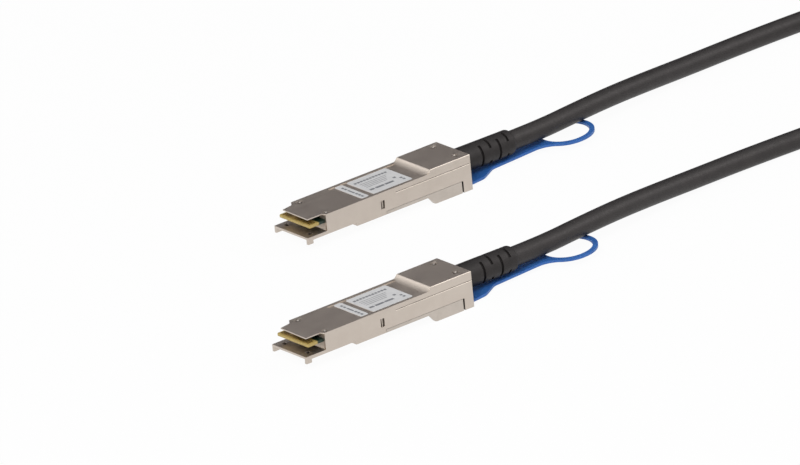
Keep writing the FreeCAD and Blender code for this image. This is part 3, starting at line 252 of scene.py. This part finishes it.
# %% The cable's route
def route_points():
    """The route's points from plug a's boot round to plug b's, in metres."""
    from_a = [(97.2, 0.0, 4.32), (111.0, 0.0, 4.32), (128.0, 1.9, 4.52), (146.0, 4.1, 4.32),
              (164.0, 6.9, 3.12), (185.0, 10.4, 1.3), (208.0, 12.6, 0.4), (232.0, 12.4, 0.4)]
    from_b = [(97.2, 0.0, 4.32), (111.0, 0.0, 4.32), (128.0, 1.9, 4.52), (146.0, 4.1, 4.32),
              (164.0, 6.9, 3.12), (185.0, 10.2, 1.3), (212.0, 11.8, 0.4), (246.0, 10.2, 0.4),
              (282.0, 7.0, 0.4)]
    half_turn = [(223.0, 52.2), (245.0, 36.6), (255.0, 10.5), (246.5, -16.5), (223.5, -32.8)]
    out = [at_plug("a", *point) for point in from_a]
    round_way = [Vector((x, y, 3.5)) / 1000 for x, y in half_turn]
    home = [at_plug("b", *point) for point in reversed(from_b)]
    return out + round_way + home


cable_points = route_points()
print("route has", len(cable_points), "points")

# %% The cable as one smooth curve
CABLE_RADIUS = 0.0035

cable_curve = bpy.data.curves.new("cable_jacket", "CURVE")
cable_curve.dimensions = "3D"
spline = cable_curve.splines.new("NURBS")
spline.points.add(len(cable_points) - 1)
for point, place in zip(spline.points, cable_points):
    point.co = (*place, 1.0)
    point.radius = CABLE_RADIUS
spline.order_u = 3
spline.use_endpoint_u = True
cable_curve.resolution_u = 14
cable_curve.bevel_depth = 1.0
cable_curve.bevel_resolution = 9
cable_curve.use_fill_caps = True
cable_jacket = bpy.data.objects.new("cable_jacket", cable_curve)
bpy.context.scene.collection.objects.link(cable_jacket)
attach(cable_jacket, "cable_assembly")
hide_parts("cable")


def curve_length(curve):
    """Length of a curve's own line, measured on the line without its bevel."""
    plain = curve.copy()
    plain.bevel_depth = 0.0
    holder = bpy.data.objects.new("measured", plain)
    mesh = bpy.data.meshes.new_from_object(holder)
    line = [v.co for v in mesh.vertices]
    bpy.data.objects.remove(holder)
    return sum((b - a).length for a, b in zip(line, line[1:]))


cable_length = curve_length(cable_curve)
print("cable is", round(cable_length * 1000, 1), "mm long")

# %% [markdown]
# ## A grain for every finish
#
# Nothing real is one flat colour. Each finish below starts from noise in the object's own
# coordinates, so it sticks to the surface and keeps its size in any view. One helper makes that
# noise, one turns it into a drift of colour, one into a drifting number and one into a slight
# relief. Small and hidden pieces need only the drift of colour, so one more helper makes such a
# plain finish in one go.

# %% Helpers for grain, colour and relief
def grain(tree, per_metre, stretch=(1, 1, 1), detail=4.0, roughness=0.55):
    """Noise in the object's coordinates, with so many lumps to a metre."""
    place = tree.nodes.new("ShaderNodeTexCoord")
    mapping = tree.nodes.new("ShaderNodeMapping")
    mapping.inputs["Scale"].default_value = stretch
    noise = tree.nodes.new("ShaderNodeTexNoise")
    noise.inputs["Scale"].default_value = per_metre
    noise.inputs["Detail"].default_value = detail
    noise.inputs["Roughness"].default_value = roughness
    tree.links.new(place.outputs["Object"], mapping.inputs["Vector"])
    tree.links.new(mapping.outputs["Vector"], noise.inputs["Vector"])
    return noise.outputs["Fac"]


def drift(tree, source, low, high, start=0.35, end=0.65):
    """A colour that drifts from low to high as the source goes from start to end."""
    ramp = tree.nodes.new("ShaderNodeValToRGB")
    ramp.color_ramp.elements[0].position = start
    ramp.color_ramp.elements[0].color = (*low, 1.0)
    ramp.color_ramp.elements[1].position = end
    ramp.color_ramp.elements[1].color = (*high, 1.0)
    tree.links.new(source, ramp.inputs["Fac"])
    return ramp.outputs["Color"]


def between(tree, source, low, high, start=0.3, end=0.7):
    """A number that drifts from low to high as the source goes from start to end."""
    spread = tree.nodes.new("ShaderNodeMapRange")
    spread.inputs["From Min"].default_value = start
    spread.inputs["From Max"].default_value = end
    spread.inputs["To Min"].default_value = low
    spread.inputs["To Max"].default_value = high
    tree.links.new(source, spread.inputs["Value"])
    return spread.outputs["Result"]


def relief(tree, source, height, under=None):
    """A bump of that height in metres, laid over another bump if one is given."""
    bump = tree.nodes.new("ShaderNodeBump")
    bump.inputs["Distance"].default_value = height
    bump.inputs["Strength"].default_value = 1.0
    tree.links.new(source, bump.inputs["Height"])
    if under is not None:
        tree.links.new(under, bump.inputs["Normal"])
    return bump.outputs["Normal"]


# %% A plain finish
def plain_finish(name, per_metre, low, high, roughness, metallic=0.0):
    """A finish of one roughness whose colour drifts between two shades."""
    material, tree, shader = start_finish(name)
    shader.inputs["Metallic"].default_value = metallic
    tree.links.new(drift(tree, grain(tree, per_metre), low, high), shader.inputs["Base Color"])
    shader.inputs["Roughness"].default_value = roughness
    return material


# %% The cable's jacket
jacket_black, tree, shader = start_finish("jacket_black")
tree.links.new(drift(tree, grain(tree, 260.0), (0.0135, 0.0122, 0.0120), (0.020, 0.0178, 0.0174)),
               shader.inputs["Base Color"])
shader.inputs["Specular IOR Level"].default_value = 0.42
shader.inputs["Specular Tint"].default_value = (1.0, 0.93, 0.92, 1.0)
tree.links.new(between(tree, grain(tree, 900.0), 0.42, 0.52), shader.inputs["Roughness"])
tree.links.new(relief(tree, grain(tree, 5200.0), 0.00004), shader.inputs["Normal"])
cable_curve.materials.append(jacket_black)
print("jacket finish has", len(tree.nodes), "nodes")

# %% [markdown]
# ## The plated castings
#
# Shell and cover are zinc die castings with a satin nickel plate: a warm silver grey, a fine
# cast grain, and faint lines along the plug where it was tumbled. The edges of a casting are
# never sharp, and the light that runs along a rounded edge is what makes it look real, so the
# CAD meshes get a narrow bevel before the finish. In narrow pockets the plate's colour is
# darkened as painted shade: a shelter measure finds grooves and blind holes by itself.

# %% Soft edges on CAD pieces
WELD_WITHIN = 0.000002


def paint(node, material):
    """Give a CAD piece one finish."""
    node.data.materials.clear()
    node.data.materials.append(material)


def soften(node, width_mm, segments=2, angle=34.0):
    """Round a CAD piece's sharp edges a little and keep its flats flat in the shading."""
    weld = node.modifiers.new("weld", "WELD")
    weld.merge_threshold = WELD_WITHIN
    bevel = node.modifiers.new("soft_edges", "BEVEL")
    bevel.width = width_mm / 1000
    bevel.segments = segments
    bevel.limit_method = "ANGLE"
    bevel.angle_limit = math.radians(angle)
    for face in node.data.polygons:
        face.use_smooth = True
    flats = node.modifiers.new("flats_stay_flat", "WEIGHTED_NORMAL")
    flats.mode = "FACE_AREA"
    flats.weight = 100


# %% Nickel plate
POCKET_REACH = 0.003
POCKET_PAINTED_SHADE = 0.1
SHELTER_RAYS = 8
CLOSED_AT = 0.2
OPEN_AT = 0.5
CASTING_EDGE = 0.12


def paint_pocket_shade(tree, colour, reach, shade):
    """The colour, darkened as painted shade where other surfaces stand closer than the reach in
    metres.
    """
    shelter = tree.nodes.new("ShaderNodeAmbientOcclusion")
    shelter.samples = SHELTER_RAYS
    shelter.inputs["Distance"].default_value = reach
    open_share = tree.nodes.new("ShaderNodeMapRange")
    open_share.inputs["From Min"].default_value = CLOSED_AT
    open_share.inputs["From Max"].default_value = OPEN_AT
    open_share.inputs["To Min"].default_value = shade
    tree.links.new(shelter.outputs["AO"], open_share.inputs["Value"])
    darker = tree.nodes.new("ShaderNodeVectorMath")
    darker.operation = "SCALE"
    tree.links.new(colour, darker.inputs[0])
    tree.links.new(open_share.outputs["Result"], darker.inputs["Scale"])
    return darker.outputs["Vector"]


nickel, tree, shader = start_finish("satin_nickel")
shader.inputs["Metallic"].default_value = 1.0
plate = drift(tree, grain(tree, 160.0), (0.565, 0.497, 0.436), (0.594, 0.526, 0.463))
# Painted shade: the plate's colour is darkened in grooves, holes and other pockets.
tree.links.new(paint_pocket_shade(tree, plate, POCKET_REACH, POCKET_PAINTED_SHADE),
               shader.inputs["Base Color"])
tree.links.new(between(tree, grain(tree, 420.0, (0.25, 1, 1)), 0.38, 0.43),
               shader.inputs["Roughness"])
cast_grain = relief(tree, grain(tree, 4200.0), 0.00004)
tumbled = relief(tree, grain(tree, 2600.0, (0.04, 1, 1)), 0.00004, under=cast_grain)
tree.links.new(tumbled, shader.inputs["Normal"])

for plug in PLUG_ORIGIN:
    for piece in ("bottom_shell", "top_cover"):
        paint(nodes[f"{piece}_{plug}"], nickel)
        soften(nodes[f"{piece}_{plug}"], CASTING_EDGE)
print("castings finished:", nickel.name)

# %% [markdown]
# ## The hollow at the foot of the block
#
# On the real cover the label's recess runs up into the raised block in one soft hollow, as the
# inner corners of castings do, and the light fades over it. The CAD model's hollow ends at the
# rim's level and leaves a corner. A bevel modifier would need that one edge marked in the CAD
# mesh, so a thin bar is laid into the corner instead. Its section has one arc that is tangent to
# the recess's floor and to the block's leaning face.

# %% The bar's section
RECESS_FLOOR = 8.28
MAIN_TOP = 8.5
FACE_FOOT = 53.85
FACE_LEAN = math.radians(51.84)
HOLLOW_RADIUS = 3.4
HOLLOW_STEPS = 14
FOOT_SUNK = 0.18
TIP_SUNK = 0.1
PAST_CORNER = 0.5


def hollow_section():
    """The bar's section, as points along and above a plug, in millimetres."""
    corner = FACE_FOOT - (MAIN_TOP - RECESS_FLOOR) / math.tan(FACE_LEAN)
    start = corner - HOLLOW_RADIUS * math.tan(FACE_LEAN / 2)
    turns = [FACE_LEAN * step / HOLLOW_STEPS for step in range(HOLLOW_STEPS + 1)]
    face = [(start + HOLLOW_RADIUS * math.sin(turn),
             RECESS_FLOOR + HOLLOW_RADIUS * (1 - math.cos(turn))) for turn in turns]
    end_along, end_up = face[-1]
    in_the_metal = [(end_along + TIP_SUNK, end_up - TIP_SUNK),
                    (corner + PAST_CORNER, RECESS_FLOOR - FOOT_SUNK),
                    (start, RECESS_FLOOR - FOOT_SUNK)]
    return face + in_the_metal


section = hollow_section()
print("hollow bar's face:", HOLLOW_STEPS, "facets, from", [round(n, 2) for n in section[0]])

# %% A hollow bar on each plug
HOLLOW_HALF_WIDTH = 9.05
SHARP_FROM = math.radians(20)

count = len(section)
for plug in PLUG_ORIGIN:
    corners = [at_plug(plug, x, side * HOLLOW_HALF_WIDTH, z)
               for side in (-1, 1) for x, z in section]
    faces = [(n, (n + 1) % count, (n + 1) % count + count, n + count) for n in range(count)]
    faces += [tuple(range(count))[::-1], tuple(range(count, count * 2))]
    bar_mesh = bpy.data.meshes.new(f"block_hollow_{plug}")
    bar_mesh.from_pydata(corners, [], faces)
    bar_mesh.materials.append(nickel)
    bar_mesh.shade_smooth()
    bar_mesh.set_sharp_from_angle(angle=SHARP_FROM)
    bar = bpy.data.objects.new(f"block_hollow_{plug}", bar_mesh)
    bpy.context.scene.collection.objects.link(bar)
    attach(bar, "cable_assembly")
    print(bar.name, "has", len(faces), "faces")

# %% [markdown]
# ## Rivets, latch slider and springs
#
# The rivets are turned steel pins, pressed flush. The slider is stamped and plated steel, a
# little smoother than the casting, and its springs are bright strip. All three are metals like
# the casting, so they share its recipe with other grain and roughness.

# %% Steel finishes
STEEL_EDGE = 0.1


def steel_finish(name, low, high, rough_low, rough_high, stretch):
    """A drawn or stamped steel with fine lines along one direction."""
    material, tree, shader = start_finish(name)
    shader.inputs["Metallic"].default_value = 1.0
    tree.links.new(drift(tree, grain(tree, 300.0), low, high), shader.inputs["Base Color"])
    tree.links.new(between(tree, grain(tree, 1500.0, stretch), rough_low, rough_high),
                   shader.inputs["Roughness"])
    tree.links.new(relief(tree, grain(tree, 3800.0, stretch), 0.00002),
                   shader.inputs["Normal"])
    return material


slider_steel = steel_finish("slider_steel", (0.512, 0.459, 0.406), (0.556, 0.498, 0.445),
                            0.3, 0.4, (0.05, 1, 1))
rivet_steel = steel_finish("rivet_steel", (0.42, 0.385, 0.35), (0.56, 0.51, 0.46),
                           0.3, 0.45, (1, 1, 1))
spring_steel = steel_finish("spring_steel", (0.5, 0.5, 0.52), (0.6, 0.6, 0.62),
                            0.22, 0.3, (0.1, 1, 1))
for plug in PLUG_ORIGIN:
    paint(nodes[f"latch_slider_{plug}"], slider_steel)
    soften(nodes[f"latch_slider_{plug}"], STEEL_EDGE)
    paint(nodes[f"cover_rivets_{plug}"], rivet_steel)
    paint(nodes[f"return_springs_{plug}"], spring_steel)
print("steel pieces finished")

# %% [markdown]
# ## Springs with meshes of their own
#
# Pulling the tab moves the slider by little more than half a millimetre, and its wall pushes the
# two strip springs against the shell. A rigid spring would be run through by the wall. Here each
# pair of springs only gets a mesh of its own.

for plug in PLUG_ORIGIN:
    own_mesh(nodes[f"return_springs_{plug}"])

# %% [markdown]
# ## The labels
#
# Two matt films lie in the cover's recess, and carry thin rules and plain bars. These could be
# one image laid on the film, or masks inside its finish. Flat strips a few hundredths of a
# millimetre above the film stay crisp at any distance and need no image.

# %% Label film
label_film, tree, shader = start_finish("label_film")
tree.links.new(drift(tree, grain(tree, 350.0), (0.64, 0.638, 0.642), (0.69, 0.688, 0.692)),
               shader.inputs["Base Color"])
shader.inputs["Roughness"].default_value = 0.45
tree.links.new(relief(tree, grain(tree, 2500.0), 0.00001), shader.inputs["Normal"])
for plug in PLUG_ORIGIN:
    for piece in ("small_label", "large_label"):
        paint(nodes[f"{piece}_{plug}"], label_film)
print("labels finished")

# %% Plain bars on the films
BAR_LEVEL = 8.41

field_grey = plain_finish("field_grey", 1800.0, (0.16, 0.165, 0.18), (0.26, 0.265, 0.28), 0.5)


def film_bars():
    """Bars on both labels of a plug: start and end along it, then from and to across it."""
    title = [(32.2 + 1.32 * n, 33.2 + 1.32 * n, 4.0, 5.1) for n in range(11)]
    rules = [(33.0, 44.5 - 0.8 * n, 2.3 - 1.2 * n, 2.55 - 1.2 * n) for n in range(4)]
    fields = [(32.4, 34.3, -4.5, -3.3), (34.9, 38.6, -4.5, -3.3), (39.0, 42.8, -4.5, -3.3)]
    squares = [(44.4, 45.5, -2.2, -1.1), (45.9, 46.9, -4.0, -3.0), (45.9, 46.9, -5.6, -4.6)]
    small = [(26.9, 27.8, y, y + 1.2) for y in (-6.6, -5.0, -3.4, 2.6, 4.2)]
    return title + rules + fields + squares + small + [(27.0, 27.7, -1.6, 2.0)]


for plug in PLUG_ORIGIN:
    corners, faces = [], []
    for x0, x1, y0, y1 in film_bars():
        first = len(corners)
        corners += [at_plug(plug, x, y, BAR_LEVEL)
                    for x, y in ((x0, y0), (x1, y0), (x1, y1), (x0, y1))]
        faces.append(tuple(range(first, first + 4)))
    bars_mesh = bpy.data.meshes.new(f"label_bars_{plug}")
    bars_mesh.from_pydata(corners, [], faces)
    bars_mesh.materials.append(field_grey)
    bars = bpy.data.objects.new(f"label_bars_{plug}", bars_mesh)
    bpy.context.scene.collection.objects.link(bars)
    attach(bars, "cable_assembly")
print("bars on one plug's labels:", len(film_bars()))

# %% [markdown]
# ## The circuit card
#
# The card is glass laminate. Its contact end is bare and yellow, so that the gold contacts can
# slide into a socket, and behind them a green mask covers it. Both are one finish that changes
# with the distance from the nose, which follows the real card without cutting it in two. The
# change runs over 0.6 mm, so that it has no jagged edge. The dark green also covers the card's
# side edges behind the contacts, which are bare laminate on a real card: there it is painted
# shade.

# %% The card's laminate and mask
MASK_AND_EDGE_SHADE_START = 5.8
MASK_AND_EDGE_SHADE_FULL = 6.4


def card_finish(plug):
    """Yellow laminate at the contact end, green mask behind; the green on the side edges is
    painted shade.
    """
    material, tree, shader = start_finish(f"card_laminate_{plug}")
    place = tree.nodes.new("ShaderNodeTexCoord")
    along = tree.nodes.new("ShaderNodeSeparateXYZ")
    tree.links.new(place.outputs["Object"], along.inputs[0])
    behind_contacts = tree.nodes.new("ShaderNodeMapRange")
    behind_contacts.interpolation_type = "SMOOTHSTEP"
    behind_contacts.inputs["From Min"].default_value = at_plug(plug, MASK_AND_EDGE_SHADE_START, 0, 0).x
    behind_contacts.inputs["From Max"].default_value = at_plug(plug, MASK_AND_EDGE_SHADE_FULL, 0, 0).x
    tree.links.new(along.outputs["X"], behind_contacts.inputs["Value"])
    laminate = drift(tree, grain(tree, 1500.0), (0.40, 0.29, 0.09), (0.52, 0.39, 0.13))
    # The green also stands on the card's side edges behind the contacts, where it is painted
    # shade.
    mask_and_edge_shade = drift(tree, grain(tree, 900.0), (0.004, 0.018, 0.011), (0.007, 0.028, 0.017))
    choose = tree.nodes.new("ShaderNodeMix")
    choose.data_type = "RGBA"
    tree.links.new(behind_contacts.outputs[0], choose.inputs[0])
    tree.links.new(laminate, choose.inputs[6])
    tree.links.new(mask_and_edge_shade, choose.inputs[7])
    tree.links.new(choose.outputs[2], shader.inputs["Base Color"])
    shader.inputs["Roughness"].default_value = 0.4
    return material


# %% Card, contacts, chip and capacitors
gold = plain_finish("contact_gold", 1200.0, (0.80, 0.58, 0.22), (0.9, 0.68, 0.3), 0.25, 1.0)
chip_black = plain_finish("chip_black", 2500.0, (0.015, 0.015, 0.016), (0.03, 0.03, 0.03), 0.55)
ceramic = plain_finish("capacitor_ceramic", 2200.0, (0.30, 0.22, 0.15), (0.42, 0.32, 0.22), 0.4)
for plug in PLUG_ORIGIN:
    paint(nodes[f"paddle_card_{plug}"], card_finish(plug))
    paint(nodes[f"contact_pads_{plug}"], gold)
    paint(nodes[f"memory_chip_{plug}"], chip_black)
    paint(nodes[f"capacitors_{plug}"], ceramic)
print("cards finished")

# %% [markdown]
# ## Inside the cable end
#
# Under the block a copper ferrule grips the jacket, and the foil wrapped wire pairs run through
# a plastic comb to the card. The cover hides them, so one grey for all would do for a picture.
# They get plain finishes of their own, so that the model can be taken apart and looked into.

# %% Wire foil, comb plastic and ferrule copper
foil = plain_finish("pair_foil", 700.0, (0.45, 0.5, 0.56), (0.6, 0.64, 0.7), 0.35, 0.8)
comb_black = plain_finish("comb_black", 1500.0, (0.02, 0.02, 0.02), (0.04, 0.04, 0.04), 0.5)
copper = plain_finish("ferrule_copper", 900.0, (0.6, 0.35, 0.2), (0.75, 0.46, 0.28), 0.35, 1.0)
for plug in PLUG_ORIGIN:
    paint(nodes[f"wire_pairs_{plug}"], foil)
    paint(nodes[f"wire_comb_{plug}"], comb_black)
    paint(nodes[f"crimp_ferrule_{plug}"], copper)
print("inner pieces finished")

# %% [markdown]
# ## Boot and pull tab
#
# The boot is soft black rubber with a matt skin. The pull tab is a softer blue moulding, and a
# little light goes through its surface. Plain blue paint would turn nearly black under the cable,
# where the real tab still glows a little, so its finish scatters light within a millimetre.

# %% Rubber boot
RUBBER_EDGE = 0.15

boot_black, tree, shader = start_finish("boot_black")
tree.links.new(drift(tree, grain(tree, 300.0), (0.009, 0.0078, 0.0077), (0.0145, 0.0128, 0.0126)),
               shader.inputs["Base Color"])
shader.inputs["Specular IOR Level"].default_value = 0.36
shader.inputs["Specular Tint"].default_value = (1.0, 0.93, 0.92, 1.0)
tree.links.new(between(tree, grain(tree, 1200.0), 0.46, 0.56), shader.inputs["Roughness"])
tree.links.new(relief(tree, grain(tree, 4500.0), 0.00005), shader.inputs["Normal"])
for plug in PLUG_ORIGIN:
    paint(nodes[f"strain_relief_boot_{plug}"], boot_black)
    soften(nodes[f"strain_relief_boot_{plug}"], RUBBER_EDGE)
print("boots finished")

# %% Blue pull tab
TAB_EDGE = 0.25

tab_blue, tree, shader = start_finish("tab_blue")
tree.links.new(drift(tree, grain(tree, 220.0), (0.026, 0.125, 0.41), (0.034, 0.15, 0.47)),
               shader.inputs["Base Color"])
shader.inputs["Subsurface Weight"].default_value = 0.35
shader.inputs["Subsurface Radius"].default_value = (0.4, 0.7, 1.0)
shader.inputs["Subsurface Scale"].default_value = 0.0012
tree.links.new(between(tree, grain(tree, 800.0), 0.4, 0.5), shader.inputs["Roughness"])
tree.links.new(relief(tree, grain(tree, 3800.0), 0.00003), shader.inputs["Normal"])
for plug in PLUG_ORIGIN:
    paint(nodes[f"pull_tab_{plug}"], tab_blue)
    soften(nodes[f"pull_tab_{plug}"], TAB_EDGE, segments=3)
print("pull tabs finished")

# %% [markdown]
# ## Colours as written
#
# Blender's usual view transform rolls bright colours off as film does, and would grey the white
# floor. The standard one shows a colour about as it is written, so it is set here.

# %% View transform
bpy.context.scene.view_settings.view_transform = "Standard"
print("view transform:", bpy.context.scene.view_settings.view_transform)
